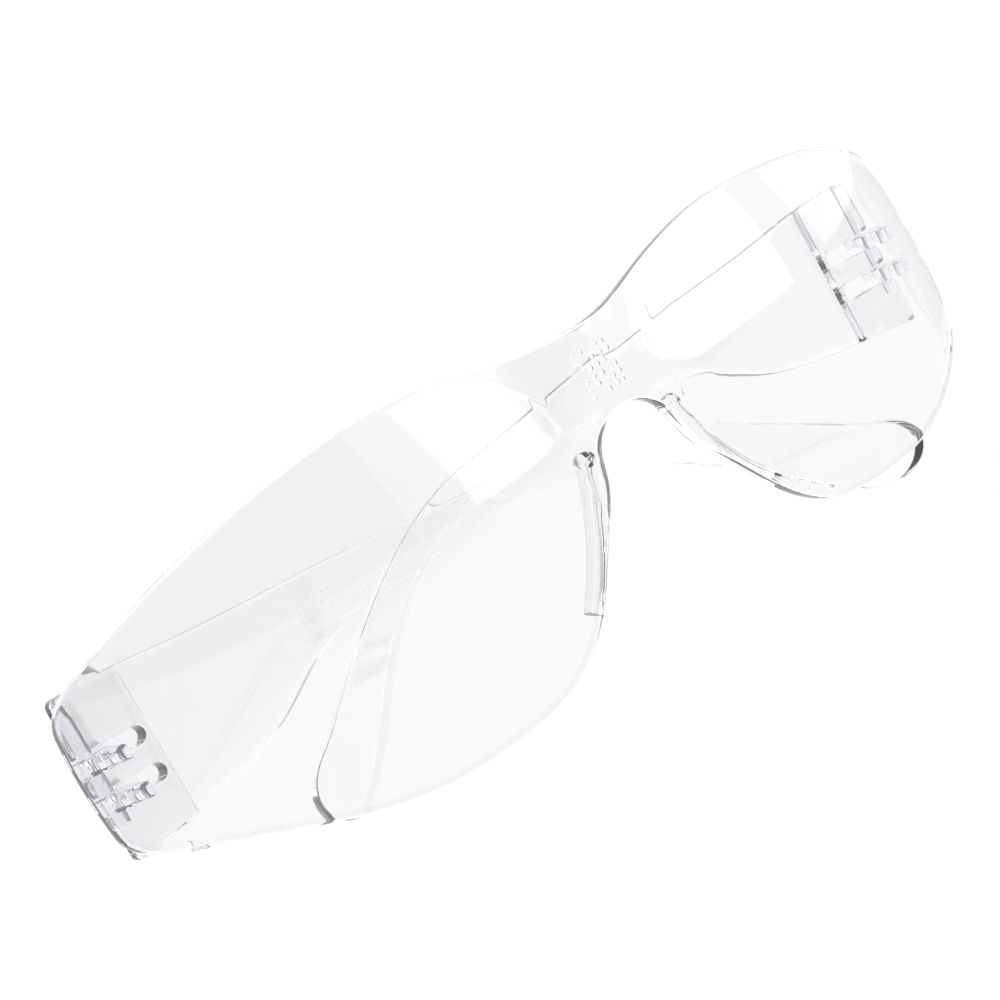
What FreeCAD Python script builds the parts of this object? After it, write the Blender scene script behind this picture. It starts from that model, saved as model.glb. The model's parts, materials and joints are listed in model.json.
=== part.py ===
import FreeCAD, Part
import os
from math import asin, cos, degrees, radians, sin, sqrt

from FreeCAD import Placement, Rotation, Vector

# Clear frameless safety glasses, folded. +Z is up as worn, +X is the wearer's
# left, and the front of the lens faces -Y. The glasses stand on Z = 0.

os.makedirs("parts", exist_ok=True)
doc = FreeCAD.newDocument("SafetyGlasses")

SIZES = {
    # one-piece lens: two lobes, each a toric shell, joined by a raised bridge
    "lobe_radius": 62.4,          # curve of a lobe in plan
    "lobe_centre_x": 18.2,        # the lobe's own axis, from the middle
    "upright_radius": 69.2,       # curve of the lens from brow to cheek
    "lens_thickness": 2.2,
    "lens_half_width": 73.4,
    "end_bow_radius": 40.0,       # each end of the lens is slightly bowed
    "end_bow": 1.5,               # and its middle stands out past its corners
    "bridge_half_width": 14.6,
    "bridge_rise_brow": 9.3,      # how far the bridge stands forward of the lobes
    "bridge_rise_nose": 5.8,
    "bridge_rounding": 3.1,
    # nose fins, moulded with the lens
    "fin_thickness": 1.7,
    "fin_flare_deg": 4.0,
    "fin_bead_radius": 1.2,
    # hinge
    "pin_x": 69.9,
    "pin_back": 38.3,             # behind the front of the lobes
    "pin_radius": 0.6,
    "pin_top": 9.6,
    "pin_length": 17.5,
    "pin_clearance": 0.06,
    "barrel_radius": 2.0,
    "lug_radius": 2.6,
    "lug_height": 2.1,
    "slot_height": 2.5,
    "slot_upper_z": 0.6,
    "slot_lower_z": -4.8,
    "slot_reach": 8.0,            # from the pin to the slot's round end
    "hinge_lean_deg": 2.0,        # play in the hinges lets both folded temples lean one way
    # temples
    "temple_thickness": 2.2,
    "root_thickness": 3.3,
    "root_length": 9.0,
    "temple_straight": 40.0,      # straight before the temple curves round the head
    "temple_curve_radius": 155.0,
    "temple_length": 122.0,
    "fold_outer_deg": 5.8,        # how far past square the temple folded first lies
    "fold_inner_deg": 1.5,        # and the one folded last, on its lens side
    # from the design datum (mid lens, front of the lobes) to the origin
    "base_z": 30.36,
    "middle_y": 21.49,
}

sheet = doc.addObject("Spreadsheet::Sheet", "Sizes")
for row, (alias, value) in enumerate(SIZES.items(), start=1):
    sheet.set(f"A{row}", alias)
    sheet.set(f"B{row}", str(value))
    sheet.setAlias(f"B{row}", alias)
doc.recompute()

SIDES = {"right": 1, "left": -1}  # +X and -X, as seen from the front


def size(alias):
    return float(sheet.get(alias))


def bind(obj, **links):
    """Bind the object's properties to the sheet's cells."""
    for prop, expression in links.items():
        obj.setExpression(prop.replace("__", "."), expression)


def joined(name, objects):
    union = doc.addObject("Part::MultiFuse", name)
    union.Shapes = objects
    return union


def boolean(kind, name, base, tool):
    result = doc.addObject(kind, name)
    result.Base = base
    result.Tool = tool
    return result


# ---- the lens -------------------------------------------------------------

# Outline of the lens seen from the front, right half, as (x, z).
BROW = [(8.3, 17.2), (16.6, 19.4), (27.0, 21.1), (39.5, 20.5), (52.0, 18.2), (62.4, 14.9), (74.6, 8.8)]
BROW_MIDDLE = (0.0, 16.6)
CHEEK = [(4.9, 2.6), (6.4, -1.8), (10.6, -8.7), (15.6, -15.6), (21.6, -20.5), (27.4, -22.2), (33.7, -22.8),
         (42.2, -22.6), (49.1, -21.2), (59.2, -17.5), (74.6, -11.7)]
CHEEK_MIDDLE = (0.0, 5.1)


def lens_depth(x, z, inset):
    """Y of the lens skin, inset by a thickness, at a point of the front view."""
    radius = size("lobe_radius") - inset
    upright = size("upright_radius") - inset
    rounded = sqrt(x * x + size("bridge_rounding") ** 2)
    across = radius - sqrt(radius ** 2 - (rounded - size("lobe_centre_x")) ** 2)
    updown = upright - sqrt(upright ** 2 - (z - 0.8) ** 2)
    share = max(0.0, 1.0 - rounded / size("bridge_half_width")) ** 2
    height = (z - CHEEK_MIDDLE[1]) / (BROW_MIDDLE[1] - CHEEK_MIDDLE[1])
    rise = size("bridge_rise_nose") + height * (size("bridge_rise_brow") - size("bridge_rise_nose"))
    return inset + across + updown - share * rise


def lens_skin(inset):
    """A smooth face through the lens skin, wide enough for every outline."""
    radius = size("lobe_radius") - inset
    centre = size("lobe_centre_x")
    start, end = asin(-centre / radius), asin((75.0 - centre) / radius)
    steps = 24
    half = [centre + radius * sin(start + (end - start) * i / steps) for i in range(steps + 1)]
    across = [-x for x in half[:0:-1]] + [0.0] + half[1:]
    heights = [-30.0 + 60.0 * j / 14 for j in range(15)]
    grid = [[Vector(x, lens_depth(x, z, inset), z) for z in heights] for x in across]
    skin = Part.BSplineSurface()
    skin.interpolate(grid)
    return skin.toShape()


def spline(points):
    curve = Part.BSplineCurve()
    curve.interpolate([Vector(x, y, 0) for x, y in points])
    return curve


def mirrored(half, middle):
    return [(-x, z) for x, z in reversed(half)] + [middle] + half


def extrusion(name, shape_object, direction, length):
    """A straight extrusion of a sketch, as long as a cell or expression says."""
    solid = doc.addObject("Part::Extrusion", name)
    solid.Base = shape_object
    solid.DirMode = "Custom"
    solid.Dir = direction
    solid.Solid = True
    bind(solid, LengthFwd=length)
    return solid


def sketch(name, curves, placement):
    """A sketch of the given curves, laid out in its own plane."""
    flat = doc.addObject("Sketcher::SketchObject", name)
    for curve in curves:
        flat.addGeometry(curve, False)
    flat.Placement = placement
    return flat


FRONT_PLANE = Rotation(Vector(1, 0, 0), 90)   # a sketch's (x, y) becomes (X, Z)

outline = sketch(
    "LensOutline",
    [spline(mirrored(BROW, BROW_MIDDLE)),
     spline(mirrored(CHEEK, CHEEK_MIDDLE)),
     Part.LineSegment(Vector(*BROW[-1], 0), Vector(*CHEEK[-1], 0)),
     Part.LineSegment(Vector(-BROW[-1][0], BROW[-1][1], 0), Vector(-CHEEK[-1][0], CHEEK[-1][1], 0))],
    Placement(Vector(0, -10, 0), FRONT_PLANE))
outline_block = extrusion("LensOutlineBlock", outline, Vector(0, 1, 0), "Sizes.pin_back + 20")

depth = size("pin_back") + 30
shell = doc.addObject("Part::Feature", "LensShell")
shell.Shape = (lens_skin(0).extrude(Vector(0, depth, 0))
               .cut(lens_skin(size("lens_thickness")).extrude(Vector(0, depth + 10, 0))))

lens_sheet = doc.addObject("Part::Common", "LensSheet")
lens_sheet.Base = shell
lens_sheet.Tool = outline_block

# Each end of the lens is cut square to its skin, by a block with a hollow round face.
HINGE_LEVEL = (size("slot_upper_z") + size("slot_lower_z")) / 2
end_angle = degrees(asin((size("lens_half_width") - size("lobe_centre_x")) / size("lobe_radius")))
end_y = lens_depth(size("lens_half_width"), 0, 0)
block_depth, block_width, block_height = 20, 12, 60
bite = 2          # the block starts this far inside the corners of the lens
end_cuts = []
for side, sign in SIDES.items():
    outward = Rotation(Vector(0, 0, 1), end_angle if sign > 0 else 180 - end_angle)
    corner = Vector(sign * size("lens_half_width"), end_y, 0)
    block = doc.addObject("Part::Box", f"EndBlock_{side}")
    block.Length, block.Width, block.Height = block_depth, block_width, block_height
    start = Vector(bite, block_width / 2, block_height / 2)
    block.Placement = Placement(corner - outward.multVec(start), outward)
    bow = doc.addObject("Part::Cylinder", f"EndBow_{side}")
    bind(bow, Radius="Sizes.end_bow_radius")
    bow.Height = 2 * block_width
    centre = Vector(size("end_bow") - size("end_bow_radius"), -block_width, HINGE_LEVEL)
    upright = Rotation(Vector(1, 0, 0), -90)
    bow.Placement = Placement(corner + outward.multVec(centre), outward.multiply(upright))
    end_cuts.append(boolean("Part::Cut", f"EndCut_{side}", block, bow))

FIN_LINE = [(7.0, 1.7), (10.6, -7.0), (16.0, -14.6)]   # down the nose edge, as (x, z)
FIN_BACK = [(4.0, 4.0), (5.5, -7.0), (5.9, -16.5)]     # the rear edge of a fin from the side, as (y, z)
fin_reach = 12         # the walls are made longer than the fins, then trimmed to that edge



def fin(side, sign):
    """A nose fin: a curved wall along the nose edge, flared as it runs back, with a bead on top."""
    spine = Part.Arc(*[Vector(sign * x, z, 0) for x, z in FIN_LINE]).toShape().Curve
    half = size("fin_thickness") / 2
    rails = []
    for offset in (-half, half):
        points = [spine.Center + (Vector(sign * x, z, 0) - spine.Center).normalize() * (spine.Radius + offset)
                  for x, z in FIN_LINE]
        rails.append(Part.Arc(*points))
    ends = [Part.LineSegment(rails[0].StartPoint, rails[1].StartPoint),
            Part.LineSegment(rails[0].EndPoint, rails[1].EndPoint)]
    front = -2.0
    flat = sketch(f"FinOutline_{side}", rails + ends, Placement(Vector(0, front, 0), FRONT_PLANE))
    flare = radians(size("fin_flare_deg"))
    back = Vector(sign * sin(flare), cos(flare), 0)
    wall = extrusion(f"Fin_{side}", flat, back, f"{fin_reach}")
    bead = doc.addObject("Part::Cylinder", f"FinBead_{side}")
    bind(bead, Radius="Sizes.fin_bead_radius")
    bead.Height = fin_reach
    top_x, top_z = FIN_LINE[0]
    bead.Placement = Placement(Vector(sign * top_x, front, top_z), Rotation(Vector(0, 0, 1), back))
    return [wall, bead]


def lug(side, sign, level):
    """A knuckle that runs straight back from the lens and closes round the hinge pin."""
    eye = size("lug_radius")
    pin = Vector(sign * size("pin_x"), size("pin_back"), 0)
    front, outer = -22.0, 1.3

    def at(x, y):
        return pin + Vector(sign * x, y, 0)

    neck = -sqrt(eye ** 2 - outer ** 2)
    curves = [Part.LineSegment(at(-eye, front), at(-eye, 0)),
              Part.Arc(at(-eye, 0), at(0, eye), at(outer, neck)),
              Part.LineSegment(at(outer, neck), at(outer, front)),
              Part.LineSegment(at(outer, front), at(-eye, front))]
    plan = sketch(f"LugPlan_{side}_{level}", curves, Placement())
    bind(plan, Placement__Base__z=f"Sizes.slot_{level}_z - Sizes.lug_height / 2")
    return [extrusion(f"Lug_{side}_{level}", plan, Vector(0, 0, 1), "Sizes.lug_height")]


def hinge_turn(sign, fold=0.0):
    """A hinge's own frame: it leans about Y at the level of the lugs, then turns about the pin."""
    lean = Rotation(Vector(0, 1, 0), size("hinge_lean_deg"))
    place = Vector(sign * size("pin_x"), size("pin_back"), 0)
    return Placement(place, lean.multiply(Rotation(Vector(0, 0, 1), fold)), Vector(0, 0, HINGE_LEVEL))


def pin_cylinder(name, sign, radius, bottom, length):
    """A rod on the hinge axis, from a height above or below the lens's middle."""
    rod = doc.addObject("Part::Cylinder", name)
    bind(rod, Radius=radius, Height=length)
    rod.Placement = hinge_turn(sign).multiply(Placement(Vector(0, 0, bottom), Rotation()))
    return rod


SIDE_PLANE = Rotation(Vector(1, 1, 1), 120)   # a sketch's (x, y) becomes (Y, Z)

top, middle, foot = [Vector(y, z, 0) for y, z in FIN_BACK]
ahead, above, below = -10, 10, -25
fin_side = sketch(
    "FinSide",
    [Part.LineSegment(Vector(ahead, above, 0), Vector(top.x, above, 0)),
     Part.LineSegment(Vector(top.x, above, 0), top),
     Part.Arc(top, middle, foot),
     Part.LineSegment(foot, Vector(foot.x, below, 0)),
     Part.LineSegment(Vector(foot.x, below, 0), Vector(ahead, below, 0)),
     Part.LineSegment(Vector(ahead, below, 0), Vector(ahead, above, 0))],
    Placement(Vector(-30, 0, 0), SIDE_PLANE))
fin_limit = extrusion("FinLimit", fin_side, Vector(1, 0, 0), "60")

fin_walls = []
lugs = []
lug_bores = []
for side, sign in SIDES.items():
    fin_walls += fin(side, sign)
    lugs += lug(side, sign, "upper") + lug(side, sign, "lower")
    lug_bores.append(pin_cylinder(f"LugBore_{side}", sign, "Sizes.pin_radius", -30, "60"))
fins = boolean("Part::Common", "Fins", joined("FinWalls", fin_walls), fin_limit)

# Fins and lugs start inside the lens, so that nothing shows on its front.
behind_skin = doc.addObject("Part::Feature", "BehindSkin")
behind_skin.Shape = lens_skin(size("lens_thickness") / 2).extrude(Vector(0, depth, 0))
rear = boolean("Part::Common", "FinsAndLugs", joined("RearParts", [fins] + lugs), behind_skin)

lens_end_cut = boolean("Part::Cut", "LensTrimmed", lens_sheet, joined("EndCuts", end_cuts))
lens = boolean("Part::Cut", "lens_shield", joined("LensWithLugs", [lens_end_cut, rear]),
               joined("LugBores", lug_bores))


# ---- the temples ----------------------------------------------------------

# Side view of a temple, as (distance from the pin, z): a deep root, a slim
# middle, then a paddle that drops behind the ear.
TEMPLE_TOP = [(7.3, 9.7), (17.7, 8.5), (35.0, 7.1), (52.0, 5.6), (69.5, 3.9), (80.5, 2.7), (89.5, 0.0),
              (101.1, -5.7), (110.3, -11.4), (117.6, -16.3)]
TEMPLE_FOOT = [(7.3, -12.3), (17.7, -10.8), (26.5, -8.2), (33.3, -4.6), (40.0, -2.5), (52.0, -1.8),
               (69.5, -1.0), (80.5, -2.6), (89.5, -5.5), (101.1, -13.1), (109.4, -20.8), (116.0, -25.9)]
TEMPLE_TIP = (122.0, -23.8)
ROOT_TOP, ROOT_FOOT = 10.0, -13.6


def temple_plan(side, sign):
    """The temple from above: straight, then an arc towards the lens when folded."""
    outer = size("barrel_radius")
    inner = outer - size("temple_thickness")
    straight = size("temple_straight")
    radius = size("temple_curve_radius")
    sweep = asin((size("temple_length") + 3 - straight) / radius)

    rails = []
    for offset in (inner, outer):
        start = Vector(0, offset, 0)
        # the centre of both arcs lies on the lens side of the folded temple
        points = [Vector(-sign * (straight + (radius + offset) * sin(sweep * t)),
                         (radius + offset) * cos(sweep * t) - radius, 0) for t in (0, 0.5, 1)]
        rails.append((start, points))
    curves = []
    for start, points in rails:
        curves.append(Part.LineSegment(start, points[0]))
        curves.append(Part.Arc(*points))
    curves.append(Part.LineSegment(rails[0][0], rails[1][0]))
    curves.append(Part.LineSegment(rails[0][1][2], rails[1][1][2]))
    plan = sketch(f"TemplePlan_{side}", curves, Placement(Vector(0, 0, -35), Rotation()))
    return extrusion(f"TempleStrip_{side}", plan, Vector(0, 0, 1), "60")


def temple_profile(side, sign):
    """The temple from the side, as a block that trims the curved strip."""
    def outline_point(point):
        return Vector(-sign * point[0], point[1], 0)

    ahead = -size("barrel_radius") - 1
    top = [(ahead, ROOT_TOP)] + TEMPLE_TOP
    foot = [(ahead, ROOT_FOOT)] + TEMPLE_FOOT
    curves = [Part.LineSegment(outline_point(top[0]), outline_point(foot[0])),
              spline([(-sign * x, z) for x, z in top]),
              spline([(-sign * x, z) for x, z in foot]),
              Part.Arc(outline_point(top[-1]), outline_point(TEMPLE_TIP), outline_point(foot[-1]))]
    profile = sketch(f"TempleProfile_{side}", curves, Placement(Vector(0, -20, 0), FRONT_PLANE))
    return extrusion(f"TempleBlock_{side}", profile, Vector(0, 1, 0), "40")


def temple_root(side, sign):
    """The barrel round the pin and the thick plate beside it, as one outline."""
    barrel = size("barrel_radius")
    inner = barrel - size("root_thickness")
    length = size("root_length")

    def at(x, y):
        return Vector(-sign * x, y, 0)

    curves = [Part.Arc(at(0, barrel), at(-barrel, 0), at(0, -barrel)),
              Part.LineSegment(at(0, -barrel), at(barrel, inner)),
              Part.LineSegment(at(barrel, inner), at(length, inner)),
              Part.LineSegment(at(length, inner), at(length, barrel)),
              Part.LineSegment(at(length, barrel), at(0, barrel))]
    plan = sketch(f"RootPlan_{side}", curves, Placement(Vector(0, 0, -35), Rotation()))
    return extrusion(f"TempleRoot_{side}", plan, Vector(0, 0, 1), "60")


def slot(side, sign, level):
    """A slot with a round end, which takes one of the lens's lugs."""
    height = f"Sizes.slot_{level}_z"
    start = 4.0
    box = doc.addObject("Part::Box", f"SlotBox_{side}_{level}")
    run = "Sizes.slot_reach - Sizes.slot_height / 2"
    bind(box, Length=f"{start} + {run}", Height="Sizes.slot_height",
         Placement__Base__x=f"-({run})" if sign > 0 else f"{-start}",
         Placement__Base__z=f"{height} - Sizes.slot_height / 2")
    box.Width = 12
    box.Placement.Base.y = -6
    end = doc.addObject("Part::Cylinder", f"SlotEnd_{side}_{level}")
    end.Height = 12
    end.Placement = Placement(Vector(0, 6, 0), FRONT_PLANE)
    bind(end, Radius="Sizes.slot_height / 2",
         Placement__Base__x=f"{-sign} * ({run})", Placement__Base__z=height)
    return [box, end]


def temple(side, sign, fold):
    """One temple, built at its pin and turned to its folded place."""
    plates = joined(f"TemplePlates_{side}", [temple_plan(side, sign), temple_root(side, sign)])
    shaped = boolean("Part::Common", f"TempleShaped_{side}", plates, temple_profile(side, sign))
    bore = doc.addObject("Part::Cylinder", f"PinBore_{side}")
    bind(bore, Radius="Sizes.pin_radius + Sizes.pin_clearance", Height="Sizes.pin_length + 5",
         Placement__Base__z="Sizes.pin_top - Sizes.pin_length - 0.1")
    voids = joined(f"TempleVoids_{side}", slot(side, sign, "upper") + slot(side, sign, "lower") + [bore])
    body = boolean("Part::Cut", f"{side}_temple", shaped, voids)
    body.Placement = hinge_turn(sign, sign * fold)
    return body


temples = {
    "right": temple("right", 1, -size("fold_inner_deg")),
    "left": temple("left", -1, -size("fold_outer_deg")),
}

# ---- the hinge pins -------------------------------------------------------

pin_foot = size("pin_top") - size("pin_length")
pins = {side: pin_cylinder(f"{side}_hinge_pin", sign, "Sizes.pin_radius", pin_foot, "Sizes.pin_length")
        for side, sign in SIDES.items()}

doc.recompute()

# ---- checks and export ----------------------------------------------------

for obj in doc.Objects:
    if {"Invalid", "Error"} & set(obj.State):
        raise RuntimeError(f"{obj.Name} failed: {obj.State}")

to_origin = Vector(0, -size("middle_y"), size("base_z"))
for obj in [lens] + list(temples.values()) + list(pins.values()):
    obj.Label = obj.Name
    shape = obj.Shape.copy()
    shape.translate(to_origin)
    if shape.isNull() or not shape.isValid() or len(shape.Solids) != 1:
        raise RuntimeError(f"{obj.Label} is not one valid solid")
    box = shape.optimalBoundingBox()
    ends = [box.XMin, box.XMax, box.YMin, box.YMax, box.ZMin, box.ZMax]
    print(obj.Label, f"{shape.Volume:.0f} mm3", [round(end, 2) for end in ends])
    shape.exportStep(f"parts/{obj.Label}.step")
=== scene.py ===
import json
import random
from math import atan2, ceil, cos, hypot, pi, radians, sin, sqrt

import bmesh
import bpy
import numpy as np
from mathutils import Matrix, Vector
from mathutils.geometry import delaunay_2d_cdt


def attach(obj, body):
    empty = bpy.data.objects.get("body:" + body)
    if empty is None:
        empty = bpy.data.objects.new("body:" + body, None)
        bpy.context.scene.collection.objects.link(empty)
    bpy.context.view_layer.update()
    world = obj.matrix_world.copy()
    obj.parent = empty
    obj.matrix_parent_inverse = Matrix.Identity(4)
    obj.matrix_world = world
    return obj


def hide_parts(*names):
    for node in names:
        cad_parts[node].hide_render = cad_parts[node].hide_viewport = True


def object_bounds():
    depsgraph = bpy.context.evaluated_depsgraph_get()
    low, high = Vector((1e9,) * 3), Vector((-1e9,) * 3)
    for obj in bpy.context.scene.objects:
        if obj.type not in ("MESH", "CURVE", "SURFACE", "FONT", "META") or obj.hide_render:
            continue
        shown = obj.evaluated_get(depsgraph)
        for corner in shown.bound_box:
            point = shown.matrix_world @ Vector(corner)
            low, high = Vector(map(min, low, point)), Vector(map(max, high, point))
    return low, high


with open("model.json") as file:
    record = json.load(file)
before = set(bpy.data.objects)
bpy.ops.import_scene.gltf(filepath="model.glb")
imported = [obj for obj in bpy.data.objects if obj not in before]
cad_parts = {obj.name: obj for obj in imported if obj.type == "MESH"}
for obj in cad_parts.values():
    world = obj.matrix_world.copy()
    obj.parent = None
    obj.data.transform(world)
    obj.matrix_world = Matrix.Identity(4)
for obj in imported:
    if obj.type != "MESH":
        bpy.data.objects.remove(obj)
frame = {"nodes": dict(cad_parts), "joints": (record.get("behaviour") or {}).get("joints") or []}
cad_low, cad_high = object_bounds()

# ---- sizes, in millimetres -----------------------------------------------------
# These are the sizes the CAD was made from. "Design" points have X across the face,
# Y back from the front of the lobes and Z up from the middle of the lens. Outlines
# are (x, z), and u is the distance along a temple from its pin. Meshes are built in
# millimetres and are brought to metres at the end, by put().

SIGN = {"right": 1, "left": -1}
FOLD = {"right": radians(-1.5), "left": radians(5.8)}   # past square with the hinge line

# the lens
LOBE_RADIUS, LOBE_X, UPRIGHT_RADIUS, LENS_THICKNESS = 62.4, 18.2, 69.2, 2.2
LENS_MIDDLE = 0.8                                       # level the upright curve is centred on
END_X, END_BOW, END_BOW_RADIUS = 73.4, 1.5, 40.0
SQUARE_FROM, SQUARE_OVER = 55, 13                       # where the ends turn square to the skin
BROW = [(0, 16.6), (8.3, 17.2), (16.6, 19.4), (27.0, 21.1), (39.5, 20.5), (52.0, 18.2),
        (62.4, 14.9), (74.6, 8.8)]
CHEEK = [(0, 5.1), (4.9, 2.6), (6.4, -1.8), (10.6, -8.7), (15.6, -15.6), (21.6, -20.5),
         (27.4, -22.2), (33.7, -22.8), (42.2, -22.6), (49.1, -21.2), (59.2, -17.5), (74.6, -11.7)]
BRIDGE_HALF, BRIDGE_RISE, BRIDGE_ROUNDING = 14.6, (5.8, 9.3), 3.1
CREASE = [(-0.4, 8.7), (2, 8.3), (4.5, 8.2), (7, 8.3), (10, 8.8), (12.7, 9.9), (15.3, 11.8),
          (17.5, 13.9), (19.4, 16.2)]                   # as (z, x)
GROOVE_DEPTH, GROOVE_HALF = 0.12, 0.4
LENS_RIM, LENS_CORNER, LENS_CORNER_ROUNDS = 0.4, 2.6, 40
LENS_STEP, LENS_GAP = 0.55, 0.45                        # outline step, and grid clear of the rim
LENS_BANDS = ((0.8, 0, 6), (0.4, 6, 17), (1.6, 17, 76))  # grid as (step, from x, to x)
LENS_LEVELS, LENS_LEVEL_STEP = (-24, 23), 1.5           # grid in z, where the band's step is over 1

# what is moulded on to the lens
FIN_LINE = [(7.0, 1.7), (10.6, -7.0), (16.0, -14.6)]    # down the nose edge
FIN_BACK = [(4.0, 4.0), (5.5, -7.0), (5.9, -16.5)]      # the rear edge of a fin, as (y, z)
FIN_THICKNESS, FIN_FLARE, FIN_STEPS, FIN_ROUND_STEPS = 1.7, radians(4), 30, 8
BEAD_RADIUS, BEAD_BEVEL, BEAD_SINK = 1.2, 0.45, 0.02
LUG_EYE, LUG_HEIGHT, LUG_LEVELS, LUG_OUTER = 2.6, 2.1, (0.6, -4.8), 1.3
LUG_STEPS, LUG_STEP, LUG_BEVEL = 28, 0.35, 0.18
GATE = (-67.2, -13.3)                                   # the hook-shaped mark on the left lobe
GATE_RADII, GATE_LOW, GATE_HIGH, GATE_STEP, GATE_BEVEL = (1.35, 0.8), -0.35, 0.6, 0.15, 0.08
PIT_CORNER, PIT_SPACING, PIT_SPREAD, PIT_RADII = (-3.1, 7.9), (1.15, 1.1), 0.12, (0.26, 0.4)
PIT_ROWS, PIT_COLUMNS, PIT_TOP, PIT_DEPTH, PIT_BEVEL = 6, 5, 0.6, 0.14, 0.06

# hinges
PIN_X, PIN_BACK, HINGE_LEVEL = 69.9, 38.3, -2.1
PIN_RADIUS, PIN_TOP, PIN_LENGTH, PIN_BEVEL = 0.6, 9.6, 17.5, 0.15
LUG_BORE, LUG_BORE_ENDS = PIN_RADIUS + 0.03, (-9, 5)
BARREL_BORE, BARREL_BORE_ENDS = PIN_RADIUS + 0.06, (PIN_TOP - PIN_LENGTH - 0.1, 15)
BORE_BEVEL = 0.01

# temples
BARREL, ROOT_THICKNESS, ROOT_LENGTH, TEMPLE_THICKNESS = 2.0, 3.3, 9.0, 2.2
STRAIGHT, CURVE = 40.0, 155.0
SLOT_HEIGHT, SLOT_REACH, SLOT_STEPS = 2.5, 8.0, 16
TEMPLE_TOP = [(-3, 10.0), (7.3, 9.7), (17.7, 8.5), (35.0, 7.1), (52.0, 5.6), (69.5, 3.9),
              (80.5, 2.7), (89.5, 0.0), (101.1, -5.7), (110.3, -11.4), (117.6, -16.3)]
TEMPLE_FOOT = [(-3, -13.6), (7.3, -12.3), (17.7, -10.8), (26.5, -8.2), (33.3, -4.6), (40.0, -2.5),
               (52.0, -1.8), (69.5, -1.0), (80.5, -2.6), (89.5, -5.5), (101.1, -13.1),
               (109.4, -20.8), (116.0, -25.9)]
TEMPLE_TIP = (122.0, -23.8)
TEMPLE_END = -BARREL + 0.12                             # just short of the barrel's own end
TEMPLE_RIM, TEMPLE_STEP, TEMPLE_GAP = 0.28, 0.4, 0.3
END_CORNER, END_CORNER_ROUNDS, TIP_CORNER, TIP_CORNER_ROUNDS = 1.1, 14, 6.0, 70
STEP_BEFORE, STEP_OVER = 0.35, 0.5                      # the soft step from root to plate
TEMPLE_BANDS = ((-1.8, 2.6, 0.4), (3, 8.2, 1.0), (8.5, 9.6, 0.12), (10.2, 124, 1.5))
TEMPLE_LEVELS = (-28, 11, 1.3)                          # both as (from, to, step)
MARK_CORNER, MARK_SPACING, MARK_COLUMNS, MARK_COUNT = (35.5, 3.2), 1.2, 8, 24
MARK_SPREAD, MARK_RADIUS, MARK_DEPTH, MARK_TOP, MARK_BEVEL = (0.3, 0.15), 0.14, 0.06, 0.3, 0.02

# mesh detail
CURVE_STEP = 0.3                                        # along a spline
TIP_STEPS, RIM_STEPS = 40, 5
BEVEL_SHOULDER = 0.3                                    # share of a bevel at its middle ring
SHARP_FROM = radians(38)

# how much of EDGE_GLOW each kind of surface gives back
LENS_GLOW, TEMPLE_GLOW, BLOCK_GLOW, FIN_GLOW = 2.0, 0.7, 1.0, 0.2

# ---- the frame -------------------------------------------------------------------

HINGES = {joint["child"].split("_")[0]: Vector(joint["pos_m"]) for joint in frame["joints"]}
DATUM = HINGES["right"] * 1000 - Vector((PIN_X, PIN_BACK, HINGE_LEVEL))
LEAN = atan2(frame["joints"][0]["axis"][0], frame["joints"][0]["axis"][2])


def in_frame(x, y, z):
    """A design point in the model's frame, still in millimetres."""
    return DATUM + Vector((x, y, z))


def hinge_place(side, fold):
    """Gives a function from a point in a hinge's own frame to the model's frame."""
    turn = Matrix.Rotation(LEAN, 3, "Y") @ Matrix.Rotation(fold, 3, "Z")
    centre = Vector((SIGN[side] * PIN_X, PIN_BACK, HINGE_LEVEL))

    def at(x, y, z):
        return in_frame(*(centre + turn @ Vector((x, y, z - HINGE_LEVEL))))

    return at


# ---- curves and loops ------------------------------------------------------------

def spline(points, step):
    """Points along a smooth curve through the given ones, about a step apart."""
    p = np.array(points, float)
    t = np.concatenate([[0], np.cumsum(np.hypot(*np.diff(p, axis=0).T))])
    h = np.diff(t)
    n = len(p)
    a = np.zeros((n, n))
    b = np.zeros((n, 2))
    a[0, 0] = a[-1, -1] = 1
    for i in range(1, n - 1):
        a[i, i - 1:i + 2] = h[i - 1], 2 * (h[i - 1] + h[i]), h[i]
        b[i] = 6 * ((p[i + 1] - p[i]) / h[i] - (p[i] - p[i - 1]) / h[i - 1])
    m = np.linalg.solve(a, b)
    at = np.linspace(0, t[-1], max(2, int(t[-1] / step) + 1))
    k = np.clip(np.searchsorted(t, at) - 1, 0, n - 2)
    left, right, w = (at - t[k])[:, None], (t[k + 1] - at)[:, None], h[k][:, None]
    out = ((m[k] * right ** 3 + m[k + 1] * left ** 3) / (6 * w)
           + (p[k] / w - m[k] * w / 6) * right + (p[k + 1] / w - m[k + 1] * w / 6) * left)
    return [tuple(q) for q in out]


def on_circle(radius, angles):
    """Points of a circle about the origin."""
    return [(radius * cos(angle), radius * sin(angle)) for angle in angles]


def arc_through(a, b, c, count):
    """Points of the circle arc from a through b to c."""
    (ax, ay), (bx, by), (cx, cy) = a, b, c
    aa, bb, cc = ax**2 + ay**2, bx**2 + by**2, cx**2 + cy**2
    d = 2 * (ax * (by - cy) + bx * (cy - ay) + cx * (ay - by))
    ux = (aa * (by - cy) + bb * (cy - ay) + cc * (ay - by)) / d
    uy = (aa * (cx - bx) + bb * (ax - cx) + cc * (bx - ax)) / d
    radius = hypot(ax - ux, ay - uy)
    angles = [atan2(y - uy, x - ux) for x, y in (a, b, c)]
    turn = (angles[2] - angles[0]) % (2 * pi)
    if (angles[1] - angles[0]) % (2 * pi) > turn:
        turn -= 2 * pi
    along = [angles[0] + turn * i / count for i in range(count + 1)]
    return [(ux + radius * cos(angle), uy + radius * sin(angle)) for angle in along]


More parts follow.
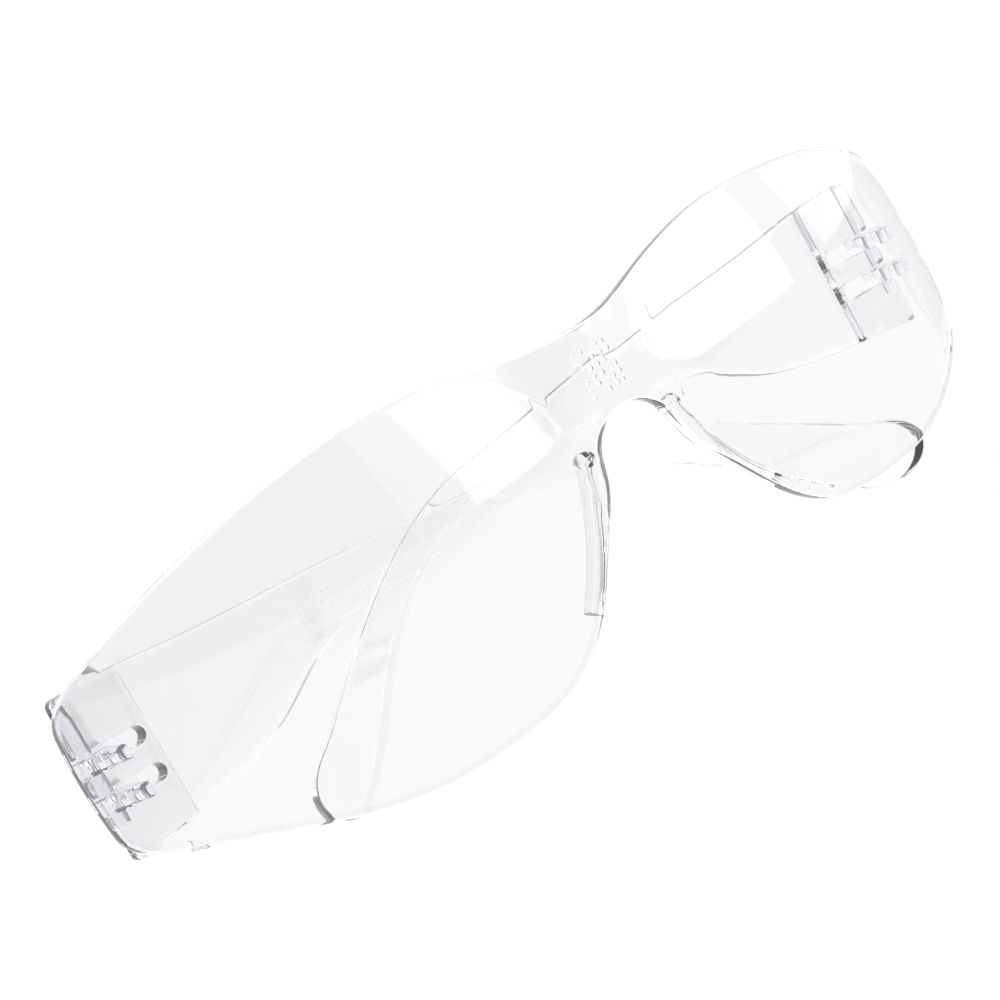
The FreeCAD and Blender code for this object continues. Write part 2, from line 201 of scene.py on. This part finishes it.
def resample(loop, step):
    """A closed loop with its points about a step apart."""
    p = np.array(loop + loop[:1], float)
    length = np.hypot(*np.diff(p, axis=0).T)
    keep = np.concatenate([[True], length > 1e-6])
    p = p[keep]
    t = np.concatenate([[0], np.cumsum(np.hypot(*np.diff(p, axis=0).T))])
    at = np.linspace(0, t[-1], int(ceil(t[-1] / step)) + 1)[:-1]
    return np.stack([np.interp(at, t, p[:, 0]), np.interp(at, t, p[:, 1])], 1)


def rounded_corners(loop, corners, reach, rounds):
    """Soften a loop near the given corners, in full up to 0.3 of the reach away and then less and
    less out to 1.3 of it."""
    loop = loop.copy()
    near = np.zeros(len(loop))
    for corner in corners:
        away = np.hypot(*(loop - np.array(corner)).T)
        near = np.maximum(near, np.clip(1.3 - away / reach, 0, 1))
    for _ in range(rounds):
        middle = (np.roll(loop, 1, 0) + np.roll(loop, -1, 0)) / 2
        loop += near[:, None] * 0.5 * (middle - loop)
    return loop


def inward(loop, distance):
    """The loop moved inwards (the loop runs anticlockwise)."""
    along = np.roll(loop, -1, 0) - np.roll(loop, 1, 0)
    along /= np.hypot(*along.T)[:, None]
    return loop + distance * np.stack([-along[:, 1], along[:, 0]], 1)


def inside(points, loop):
    """Which points are inside a closed loop."""
    x, y = points.T
    result = np.zeros(len(points), bool)
    for (ax, ay), (bx, by) in zip(loop, np.roll(loop, -1, 0)):
        crosses = (ay > y) != (by > y)
        result ^= crosses & (x < (bx - ax) * (y - ay) / (by - ay + 1e-12) + ax)
    return result


# ---- mesh builders -----------------------------------------------------------------

def stitch(mesh, rings):
    """Join each closed ring of vertices to the next with quads."""
    n = len(rings[0])
    for first, second in zip(rings, rings[1:]):
        for i in range(n):
            j = (i + 1) % n
            mesh.faces.new([first[i], first[j], second[j], second[i]])


def finished(name, mesh):
    """An object in the scene from a bmesh, with its share of the edge glow on every point."""
    bmesh.ops.recalc_face_normals(mesh, faces=mesh.faces)
    data = bpy.data.meshes.new(name)
    mesh.to_mesh(data)
    mesh.free()
    data.shade_smooth()
    data.materials.append(None)
    if "rim" not in data.attributes:
        data.attributes.new("rim", "FLOAT", "POINT")
        set_glow(data, BLOCK_GLOW)
    thing = bpy.data.objects.new(name, data)
    bpy.context.scene.collection.objects.link(thing)
    return thing


def set_glow(data, glow):
    data.attributes["rim"].data.foreach_set("value", [glow] * len(data.vertices))


def sheet_mesh(name, loop, grid, place, rim, gap, glow):
    """A closed shell over a flat outline, with a rounded rim. place(points, share, inset) gives
    the points in the frame, where share is 0 on the first skin and 1 on the second, and inset is
    a distance in from that skin. Grid points closer to the rim than the gap are left out."""
    turns = [pi / 2 * k / RIM_STEPS for k in range(RIM_STEPS + 1)]
    quarter = [(rim * (1 - sin(turn)), rim * (1 - cos(turn))) for turn in turns]
    rows = [(offset, 0, inset) for offset, inset in quarter]
    rows += [(0, 0.5, 0)]
    rows += [(offset, 1, inset) for offset, inset in reversed(quarter)]
    inner = inward(loop, rim)
    clear = grid[inside(grid, inner)]
    away = np.full(len(clear), 1e9)
    for point in inner:
        away = np.minimum(away, np.hypot(*(clear - point).T))
    clear = clear[away > gap]
    n = len(inner)
    flat = [Vector(p) for p in np.concatenate([inner, clear])]
    edges = [(i, (i + 1) % n) for i in range(n)]
    points, _, faces, origin, _, _ = delaunay_2d_cdt(flat, edges, [], 1, 1e-7)
    points = np.array([tuple(p) for p in points])
    border = {o[0]: i for i, o in enumerate(origin) if o and o[0] < n}
    mesh = bmesh.new()
    rim_layer = mesh.verts.layers.float.new("rim")
    skins = []
    for share in (0, 1):
        skins.append([mesh.verts.new(p) for p in place(points, share, 0)])
    rings = [[skins[0][border[i]] for i in range(n)]]
    for offset, share, inset in rows[1:-1]:
        rings.append([mesh.verts.new(p) for p in place(inward(loop, offset), share, inset)])
        for vertex in rings[-1]:
            vertex[rim_layer] = glow
    rings.append([skins[1][border[i]] for i in range(n)])
    for skin in skins:
        for face in faces:
            mesh.faces.new([skin[i] for i in face])
    stitch(mesh, rings)
    bmesh.ops.remove_doubles(mesh, verts=mesh.verts, dist=1e-5)
    return finished(name, mesh)


def prism(name, loop, low, high, place, bevel):
    """A solid between two copies of a flat loop, with softened edges. place(x, y, level) gives
    the points in the frame."""
    mesh = bmesh.new()
    shoulder = bevel * BEVEL_SHOULDER
    rows = [(bevel, low), (shoulder, low + shoulder), (0, low + bevel), (0, high - bevel),
            (shoulder, high - shoulder), (bevel, high)]
    rings = []
    for offset, level in rows:
        rings.append([mesh.verts.new(place(x, y, level)) for x, y in inward(loop, offset)])
    stitch(mesh, rings)
    mesh.faces.new(rings[0][::-1])
    mesh.faces.new(rings[-1])
    return finished(name, mesh)


def rod(name, radius, low, high, place, bevel, segments=40):
    """A round prism."""
    loop = np.array(on_circle(radius, [2 * pi * i / segments for i in range(segments)]))
    return prism(name, loop, low, high, place, bevel)


def combine(base, tools, operation):
    """Apply a boolean with each tool, then discard the tool."""
    for tool in tools:
        step = base.modifiers.new("step", "BOOLEAN")
        step.operation = operation
        step.solver = "MANIFOLD"
        step.object = tool
        depsgraph = bpy.context.evaluated_depsgraph_get()
        data = bpy.data.meshes.new_from_object(base.evaluated_get(depsgraph))
        base.modifiers.clear()
        base.data = data
        bpy.data.objects.remove(tool)
    base.data.shade_smooth()
    base.data.set_sharp_from_angle(angle=SHARP_FROM)


# ---- the lens ------------------------------------------------------------------------

CREASE_Z, CREASE_X = np.array(CREASE, float).T


def lens_depth(x, z, inset):
    """Design Y of the lens skin, with a fine groove where each lobe meets the raised bridge."""
    radius, upright = LOBE_RADIUS - inset, UPRIGHT_RADIUS - inset
    rounded = np.sqrt(x * x + BRIDGE_ROUNDING ** 2)
    across = radius - np.sqrt(radius ** 2 - (rounded - LOBE_X) ** 2)
    updown = upright - np.sqrt(upright ** 2 - (z - LENS_MIDDLE) ** 2)
    share = np.clip(1 - rounded / BRIDGE_HALF, 0, 1) ** 2
    low, high = BRIDGE_RISE
    rise = low + (z - CHEEK[0][1]) / (BROW[0][1] - CHEEK[0][1]) * (high - low)
    from_crease = np.abs(x) - np.interp(z, CREASE_Z, CREASE_X)
    groove = GROOVE_DEPTH * np.exp(-(from_crease / GROOVE_HALF) ** 2)
    return inset + across + updown - share * rise + groove * (1 - inset / LENS_THICKNESS)


def skin_y(x, z, inset=LENS_THICKNESS / 2):
    """Design Y at one point, by default in the middle of the sheet."""
    return float(lens_depth(np.array(x), np.array(z), inset))


def lens_place(points, share, inset):
    x, z = points.T
    depth = {0: inset, 0.5: LENS_THICKNESS / 2, 1: LENS_THICKNESS - inset}[share]
    away = np.clip((np.abs(x) - SQUARE_FROM) / SQUARE_OVER, 0, 1)
    square = away * away * (3 - 2 * away)
    centre = np.sign(x) * LOBE_X
    moved = x - square * (x - centre) * depth / LOBE_RADIUS
    return [in_frame(*p) for p in zip(moved, lens_depth(moved, z, depth), z)]


def end_line(z):
    """Design X of the lens's bowed end at a level."""
    bow = END_BOW - END_BOW_RADIUS + sqrt(END_BOW_RADIUS ** 2 - (z - HINGE_LEVEL) ** 2)
    return END_X + bow * (LOBE_RADIUS ** 2 - (END_X - LOBE_X) ** 2) ** 0.5 / LOBE_RADIUS


def lens_outline():
    """The lens's outline, anticlockwise."""
    both = {}
    for key, half in (("brow", BROW), ("cheek", CHEEK)):
        whole = [(-x, z) for x, z in reversed(half[1:])] + half
        both[key] = [p for p in spline(whole, CURVE_STEP) if abs(p[0]) <= end_line(p[1])]
    ends = [both["brow"][-1], both["cheek"][-1]]
    levels = np.linspace(ends[1][1], ends[0][1], 40)[1:-1]
    right = [(end_line(z), z) for z in levels]
    left = [(-x, z) for x, z in reversed(right)]
    loop = resample(both["cheek"] + right + both["brow"][::-1] + left, LENS_STEP)
    corners = [(sign * x, z) for sign in (1, -1) for x, z in ends]
    return rounded_corners(loop, corners, LENS_CORNER, LENS_CORNER_ROUNDS)


def lens_grid():
    """Points inside the outline, closest together over the creases."""
    rows = []
    for step, low, high in LENS_BANDS:
        x = np.arange(low + step / 2, high, step)
        z = np.arange(*LENS_LEVELS, step if step < 1 else LENS_LEVEL_STEP)
        rows.append(np.stack(np.meshgrid(x, z), -1).reshape(-1, 2))
    half = np.concatenate(rows)
    return np.concatenate([half, half * (-1, 1)])


def fin(side):
    """A nose fin, trimmed to its rear edge, with a bead at its top."""
    sign = SIGN[side]
    line = arc_through(*FIN_LINE, FIN_STEPS)
    edge = arc_through(*[(z, y) for y, z in FIN_BACK], FIN_STEPS)
    edge_z, edge_y = np.array(edge)[::-1].T
    half = FIN_THICKNESS / 2
    turns = [pi * i / FIN_ROUND_STEPS for i in range(FIN_ROUND_STEPS + 1)]
    section = [(-1, 0)] + [(-cos(turn), sin(turn)) for turn in turns] + [(1, 0)]
    mesh = bmesh.new()
    rings = []
    for k, (x, z) in enumerate(line):
        a, b = line[max(k - 1, 0)], line[min(k + 1, FIN_STEPS)]
        along = hypot(b[0] - a[0], b[1] - a[1])
        nx, nz = -(b[1] - a[1]) / along, (b[0] - a[0]) / along
        front = skin_y(x, z)
        rear = float(np.interp(z, edge_z, edge_y))
        ring = []
        for place, (across, lift) in enumerate(section):
            y = front if place in (0, len(section) - 1) else rear - half + lift * half
            flare = sin(FIN_FLARE) * (y - front)
            ring.append(mesh.verts.new(in_frame(
                sign * (x + nx * across * half + flare), y, z + nz * across * half)))
        rings.append(ring)
    stitch(mesh, rings)
    mesh.faces.new(rings[0])
    mesh.faces.new(rings[-1])
    wall = finished(f"fin_{side}", mesh)

    top_x, top_z = FIN_LINE[0]
    front = skin_y(top_x, top_z)

    def at(x, y, level):
        flare = sin(FIN_FLARE) * (level - front)
        return in_frame(sign * (top_x + x + flare), level, top_z + y)

    bead = rod(f"bead_{side}", BEAD_RADIUS, front, FIN_BACK[0][0] - BEAD_SINK, at, BEAD_BEVEL)
    for thing in (wall, bead):
        set_glow(thing.data, FIN_GLOW)
    return [wall, bead]


def lug(side, level):
    """A knuckle that runs straight back from the lens and closes round the pin."""
    sign = SIGN[side]
    turn = atan2(-sqrt(LUG_EYE ** 2 - LUG_OUTER ** 2), LUG_OUTER)
    eye = on_circle(LUG_EYE, [turn + (pi - turn) * i / LUG_STEPS for i in range(LUG_STEPS + 1)])
    outer, inner = [(x, skin_y(PIN_X + x, level) - PIN_BACK) for x in (LUG_OUTER, -LUG_EYE)]
    loop = resample([outer] + eye + [inner], LUG_STEP)

    def at(x, y, z):
        return in_frame(sign * (PIN_X + x), PIN_BACK + y, level + z)

    return prism(f"lug_{side}_{level}", loop, -LUG_HEIGHT / 2, LUG_HEIGHT / 2, at, LUG_BEVEL)


def bridge_pits():
    """Tools for a small generic pattern of pits in the front of the bridge."""
    random.seed(4)
    pits = []
    for row in range(PIT_ROWS):
        for column in range(PIT_COLUMNS):
            if (row * 3 + column * 5) % 4 == 1:
                continue
            x = PIT_CORNER[0] + PIT_SPACING[0] * column + random.uniform(-PIT_SPREAD, PIT_SPREAD)
            z = PIT_CORNER[1] + PIT_SPACING[1] * row + random.uniform(-PIT_SPREAD, PIT_SPREAD)
            radius = random.uniform(*PIT_RADII)
            y = skin_y(x, z, 0)

            def at(px, py, level, x=x, y=y, z=z):
                return in_frame(x + px, y + level, z + py)

            pits.append(rod(f"dot_{len(pits)}", radius, -PIT_TOP, PIT_DEPTH, at, PIT_BEVEL, 16))
    return pits


def gate_hook():
    """The small raised hook that the mould's gate leaves on the left lobe."""
    outer, inner = GATE_RADII
    hook = on_circle(outer, [radians(turn) for turn in range(150, 300, 8)])
    hook += on_circle(inner, [radians(turn) for turn in range(294, 148, -8)])

    def at(x, y, level):
        x, z = x + GATE[0], y + GATE[1]
        return in_frame(x, skin_y(x, z, 0) + level, z)

    return prism("gate", resample(hook, GATE_STEP), GATE_LOW, GATE_HIGH, at, GATE_BEVEL)


def lens_piece():
    lens = sheet_mesh("lens", lens_outline(), lens_grid(), lens_place, LENS_RIM, LENS_GAP,
                      LENS_GLOW)
    parts = []
    for side in SIGN:
        parts += fin(side)
        parts += [lug(side, level) for level in LUG_LEVELS]
    combine(lens, parts + [gate_hook()], "UNION")
    bores = [rod(f"bore_{side}", LUG_BORE, *LUG_BORE_ENDS, hinge_place(side, 0), BORE_BEVEL)
             for side in SIGN]
    combine(lens, bores + bridge_pits(), "DIFFERENCE")
    return lens


# ---- the temples and pins --------------------------------------------------------------

def temple_outline():
    """Side view of a temple, anticlockwise in (u, z), with its two slots."""
    top, foot = [[p for p in spline(edge, CURVE_STEP) if p[0] > -BARREL]
                 for edge in (TEMPLE_TOP, TEMPLE_FOOT)]
    tip = arc_through(foot[-1], TEMPLE_TIP, top[-1], TIP_STEPS)
    half = SLOT_HEIGHT / 2
    run = SLOT_REACH - half
    turns = [pi * i / SLOT_STEPS for i in range(SLOT_STEPS + 1)]
    notches = []
    for level in LUG_LEVELS:
        notches += [(TEMPLE_END, level + half)]
        notches += [(run + half * sin(turn), level + half * cos(turn)) for turn in turns]
        notches += [(TEMPLE_END, level - half)]
    loop = (foot + tip[1:-1] + top[::-1] + [(TEMPLE_END, top[0][1])] + notches
            + [(TEMPLE_END, foot[0][1])])
    levels = [top[0][1], foot[0][1]]
    levels += [level + sign * half for level in LUG_LEVELS for sign in (1, -1)]
    corners = [(TEMPLE_END, level) for level in levels]
    loop = rounded_corners(resample(loop, TEMPLE_STEP), corners, END_CORNER, END_CORNER_ROUNDS)
    return rounded_corners(loop, [top[-1], foot[-1]], TIP_CORNER, TIP_CORNER_ROUNDS)


def temple_skins(u):
    """How far the outer and inner skins stand from the pin's line."""
    beyond = np.clip(u - STRAIGHT, 0, None)
    before = np.sqrt(np.clip(BARREL ** 2 - np.clip(u, -BARREL, 0) ** 2, 0, None))
    inner_plate = BARREL - TEMPLE_THICKNESS
    root = BARREL - ROOT_THICKNESS
    outer = np.where(u < 0, before, np.sqrt((CURVE + BARREL) ** 2 - beyond ** 2) - CURVE)
    plate = np.sqrt((CURVE + inner_plate) ** 2 - beyond ** 2) - CURVE
    step = np.clip((u - ROOT_LENGTH + STEP_BEFORE) / STEP_OVER, 0, 1)
    plate = root + (plate - root) * step * step * (3 - 2 * step)
    ramp = -BARREL + (root + BARREL) * np.clip(u / BARREL, 0, 1)
    inner = np.where(u < 0, -before, np.where(u < BARREL, ramp, plate))
    return outer, inner


def temple_pits(side, at):
    """Tools for a faint generic mark of small pits in the outer skin of a temple."""
    random.seed(7)
    across, updown = MARK_SPREAD
    pits = []
    for k in range(MARK_COUNT):
        row, column = divmod(k, MARK_COLUMNS)
        u = MARK_CORNER[0] + MARK_SPACING * column + random.uniform(-across, across)
        z = MARK_CORNER[1] - MARK_SPACING * row + random.uniform(-updown, updown)
        outer = float(temple_skins(np.array(u))[0])

        def on_plate(x, y, level, u=u, z=z, outer=outer):
            return at(-SIGN[side] * (u + x), outer + level, z + y)

        pits.append(rod(f"mark_{side}_{k}", MARK_RADIUS, -MARK_DEPTH, MARK_TOP, on_plate,
                        MARK_BEVEL, 12))
    return pits


def temple_piece(side):
    at = hinge_place(side, FOLD[side])

    def place(points, share, inset):
        u, z = points.T
        outer, inner = temple_skins(u)
        inset = np.minimum(inset, (outer - inner) * 0.45)
        w = {0: outer - inset, 0.5: (outer + inner) / 2, 1: inner + inset}[share]
        return [at(-SIGN[side] * p, q, r) for p, q, r in zip(u, w, z)]

    columns = np.concatenate([np.arange(*band) for band in TEMPLE_BANDS])
    grid = np.stack(np.meshgrid(columns, np.arange(*TEMPLE_LEVELS)), -1).reshape(-1, 2)
    temple = sheet_mesh(f"temple_{side}", temple_outline(), grid, place, TEMPLE_RIM, TEMPLE_GAP,
                        TEMPLE_GLOW)
    bore = rod(f"temple_bore_{side}", BARREL_BORE, *BARREL_BORE_ENDS, hinge_place(side, 0),
               BORE_BEVEL)
    combine(temple, [bore], "DIFFERENCE")
    if side == "left":
        combine(temple, temple_pits(side, at), "DIFFERENCE")
    return temple


def pin_piece(side):
    return rod(f"pin_{side}", PIN_RADIUS, PIN_TOP - PIN_LENGTH, PIN_TOP, hinge_place(side, 0),
               PIN_BEVEL, 32)


# ---- camera, light and materials, in metres ----------------------------------------------

CAMERA_PLACE = Vector((-0.14955, -0.30199, 0.06936))
CAMERA_AZIMUTH, CAMERA_ELEVATION, CAMERA_ROLL = radians(-24.7), radians(6.5), radians(-31.2)
CAMERA_LENS, CAMERA_NEAR, CAMERA_FAR = 93.1, 0.01, 60

# The wall and the floor are dimmer on the camera's side, so that the lens reflects some grey.
BEHIND = (0.71, 0.71, 0.0)
WORLD_FRONT, WORLD_BACK, WORLD_FADE = 0.25, 1.0, (-0.75, -0.1)
FLOOR_FRONT, FLOOR_BACK, FLOOR_SIZE = 0.5, 0.92, 40
FLOOR_FADES = ((BEHIND, -0.32, -0.13), ((0.98, -0.21, 0.0), -0.2, -0.1))   # way, from, to
FLOOR_PAINT = (0.15, 0.15, 0.15, 1)
FLOOR_GRAIN, FLOOR_ROUGHNESS = 350.0, (0.8, 0.95)
WHITE = (1, 1, 1, 1)

# name, azimuth and elevation in degrees, distance, width, height, watts per square metre
SOFT_BOXES = [
    ("soft_box_top", 10, 70, 0.9, 0.6, 0.6, 3),
    ("soft_box_right", 36, 17, 0.8, 0.7, 0.48, 4.2),
    ("soft_box_side", 100, 12, 1.0, 0.9, 0.4, 2.4),
    ("soft_box_left", 4, 22, 0.8, 0.22, 0.5, 1.2),
]

POLYCARBONATE_IOR = 1.586
FLOW_SCALE, FLOW_HEIGHT, HAZE_SCALE, HAZE_RANGE = 55.0, 0.0004, 90.0, (0.35, 0.75)
EDGE_GLOW, EDGE_COLOUR = 0.05, (0.93, 0.95, 1.0, 1)
# the second tint is painted shade: a darker base colour on the root blocks beside the hinges, out
# past the root's edge
LENS_TINT, ROOT_PAINTED_SHADE = (0.925, 0.925, 0.93, 1), (0.925, 0.92, 0.935, 1)
ROOT_SHADE_EDGE, ROOT_SHADE_FADE = (PIN_X - ROOT_LENGTH) / 1000, 0.0001


def towards(azimuth, elevation):
    """The way to an azimuth and elevation, given in radians. Azimuth 0 is the front."""
    return Vector((sin(azimuth) * cos(elevation), -cos(azimuth) * cos(elevation), sin(elevation)))


def add_camera():
    data = bpy.data.cameras.new("camera")
    data.lens = CAMERA_LENS
    data.clip_start, data.clip_end = CAMERA_NEAR, CAMERA_FAR
    camera = bpy.data.objects.new("camera", data)
    bpy.context.scene.collection.objects.link(camera)
    back = towards(CAMERA_AZIMUTH, CAMERA_ELEVATION)
    level = (-back).to_track_quat("-Z", "Y").to_matrix()
    turned = level @ Matrix.Rotation(CAMERA_ROLL, 3, "Z")
    camera.matrix_world = Matrix.Translation(CAMERA_PLACE) @ turned.to_4x4()
    bpy.context.scene.camera = camera


class Nodes:
    """Short way to lay out a node tree."""

    def __init__(self, tree):
        self.tree = tree
        tree.nodes.clear()

    def add(self, kind, inputs=None, **settings):
        node = self.tree.nodes.new(kind)
        for key, value in settings.items():
            setattr(node, key, value)
        for key, value in (inputs or {}).items():
            if isinstance(value, bpy.types.NodeSocket):
                self.tree.links.new(value, node.inputs[key])
            else:
                node.inputs[key].default_value = value
        return node

    def along(self, place, way):
        """How far a place lies along a way."""
        node = self.add("ShaderNodeVectorMath", {0: place, 1: way}, operation="DOT_PRODUCT")
        return node.outputs["Value"]

    def fade(self, value, start, end, front, back):
        """From front to back, smoothly, as the value goes from start to end."""
        node = self.add("ShaderNodeMapRange", {
            "Value": value, "From Min": start, "From Max": end, "To Min": front, "To Max": back},
            interpolation_type="SMOOTHSTEP")
        return node.outputs["Result"]


def clear_plastic(name, absorbed, density, wave, roughness, face_tint, root_painted_shade):
    """Clear moulded polycarbonate: faint flow waves, faint handling haze, a cold tint where it is
    thick. Within the root blocks, beside the hinges, the base colour is a painted shade. Moulded
    edges give back a little of the light that the sheet pipes to them, which a few traced bounces
    lose."""
    material = bpy.data.materials.new(name)
    material.use_nodes = True
    n = Nodes(material.node_tree)
    place = n.add("ShaderNodeTexCoord").outputs["Object"]
    flow = n.add("ShaderNodeTexNoise", {"Vector": place, "Scale": FLOW_SCALE, "Detail": 1.0})
    bump = n.add("ShaderNodeBump", {
        "Height": flow.outputs["Fac"], "Strength": wave, "Distance": FLOW_HEIGHT})
    haze = n.add("ShaderNodeTexNoise", {
        "Vector": place, "Scale": HAZE_SCALE, "Detail": 4.0, "Roughness": 0.6})
    rough = n.add("ShaderNodeMapRange", {
        "Value": haze.outputs["Fac"], "From Min": HAZE_RANGE[0], "From Max": HAZE_RANGE[1],
        "To Min": roughness * 0.3, "To Max": roughness})
    # painted shade: past the root's edge, beside the hinges, the base colour turns to the darker
    # root colour
    across = n.add("ShaderNodeSeparateXYZ", {"Vector": place}).outputs["X"]
    reach = n.add("ShaderNodeMath", {0: across}, operation="ABSOLUTE").outputs[0]
    root = n.add("ShaderNodeMapRange", {
        "Value": reach, "From Min": ROOT_SHADE_EDGE - ROOT_SHADE_FADE, "From Max": ROOT_SHADE_EDGE})
    colour = n.add("ShaderNodeMix", {0: root.outputs["Result"], 6: face_tint, 7: root_painted_shade},
                   data_type="RGBA")
    rim = n.add("ShaderNodeAttribute", attribute_name="rim").outputs["Fac"]
    piped = n.add("ShaderNodeMath", {0: rim, 1: EDGE_GLOW}, operation="MULTIPLY").outputs[0]
    surface = n.add("ShaderNodeBsdfPrincipled", {
        "Emission Color": EDGE_COLOUR, "Emission Strength": piped,
        "Base Color": colour.outputs[2], "Roughness": rough.outputs["Result"],
        "IOR": POLYCARBONATE_IOR, "Transmission Weight": 1.0, "Normal": bump.outputs["Normal"]})
    depth = n.add("ShaderNodeVolumeAbsorption", {"Color": absorbed, "Density": density})
    n.add("ShaderNodeOutputMaterial", {"Surface": surface.outputs[0], "Volume": depth.outputs[0]})
    return material


def add_world():
    """A white studio wall behind the glasses, dimmer on the camera's side."""
    world = bpy.data.worlds.new("studio")
    bpy.context.scene.world = world
    world.use_nodes = True
    n = Nodes(world.node_tree)
    way = n.add("ShaderNodeTexCoord").outputs["Generated"]
    light = n.fade(n.along(way, BEHIND), *WORLD_FADE, WORLD_FRONT, WORLD_BACK)
    shade = n.add("ShaderNodeBackground", {"Color": WHITE, "Strength": light})
    n.add("ShaderNodeOutputWorld", {"Surface": shade.outputs[0]})


def add_floor():
    """A plain pale floor that gives off most of its own light."""
    bpy.ops.mesh.primitive_plane_add(size=FLOOR_SIZE, location=(0, 0, 0))
    floor = bpy.context.object
    floor.name = "floor"
    material = bpy.data.materials.new("pale_floor")
    material.use_nodes = True
    n = Nodes(material.node_tree)
    place = n.add("ShaderNodeTexCoord").outputs["Object"]
    glow = FLOOR_BACK
    for way, start, end in FLOOR_FADES:
        part = n.fade(n.along(place, way), start, end, FLOOR_FRONT, FLOOR_BACK)
        glow = n.add("ShaderNodeMath", {0: glow, 1: part}, operation="MINIMUM").outputs[0]
    grain = n.add("ShaderNodeTexNoise", {"Vector": place, "Scale": FLOOR_GRAIN, "Detail": 3.0})
    rough = n.add("ShaderNodeMapRange", {
        "Value": grain.outputs["Fac"], "To Min": FLOOR_ROUGHNESS[0], "To Max": FLOOR_ROUGHNESS[1]})
    surface = n.add("ShaderNodeBsdfPrincipled", {
        "Base Color": FLOOR_PAINT, "Roughness": rough.outputs["Result"],
        "Specular IOR Level": 0.0, "Emission Color": WHITE, "Emission Strength": glow})
    n.add("ShaderNodeOutputMaterial", {"Surface": surface.outputs[0]})
    floor.data.materials.append(material)


def add_soft_box(name, azimuth, elevation, distance, width, height, power):
    """A soft box aimed at the middle of the object."""
    data = bpy.data.lights.new(name, "AREA")
    data.shape = "RECTANGLE"
    data.size, data.size_y = width, height
    data.energy = power * width * height
    light = bpy.data.objects.new(name, data)
    bpy.context.scene.collection.objects.link(light)
    back = towards(radians(azimuth), radians(elevation))
    light.location = (cad_low + cad_high) / 2 + back * distance
    light.visible_diffuse = False
    light.rotation_mode = "QUATERNION"
    light.rotation_quaternion = back.to_track_quat("Z", "Y")


def put(piece, body, node, plastic):
    """A finished piece, brought to metres, on its body and standing for its CAD node."""
    piece.data.transform(Matrix.Scale(0.001, 4))
    for index in range(len(piece.data.materials)):
        piece.data.materials[index] = plastic
    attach(piece, body)
    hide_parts(node)


# ---- the scene -----------------------------------------------------------------------------

add_camera()
add_world()
add_floor()
for box in SOFT_BOXES:
    add_soft_box(*box)

lens_plastic = clear_plastic("lens_polycarbonate", (0.4, 0.45, 0.62, 1), 16.0, 0.01, 0.012,
                             LENS_TINT, LENS_TINT)
temple_plastic = clear_plastic("temple_polycarbonate", (0.42, 0.47, 0.62, 1), 10.0, 0.012, 0.02,
                               WHITE, ROOT_PAINTED_SHADE)
for node in frame["nodes"].values():
    node.data.materials.clear()
    node.data.materials.append(temple_plastic)

put(lens_piece(), "lens", "lens_shield", lens_plastic)
for side in SIGN:
    put(temple_piece(side), f"{side}_temple_arm", f"{side}_temple", temple_plastic)
    put(pin_piece(side), "lens", f"{side}_hinge_pin", temple_plastic)

bpy.context.scene.view_settings.view_transform = "Standard"
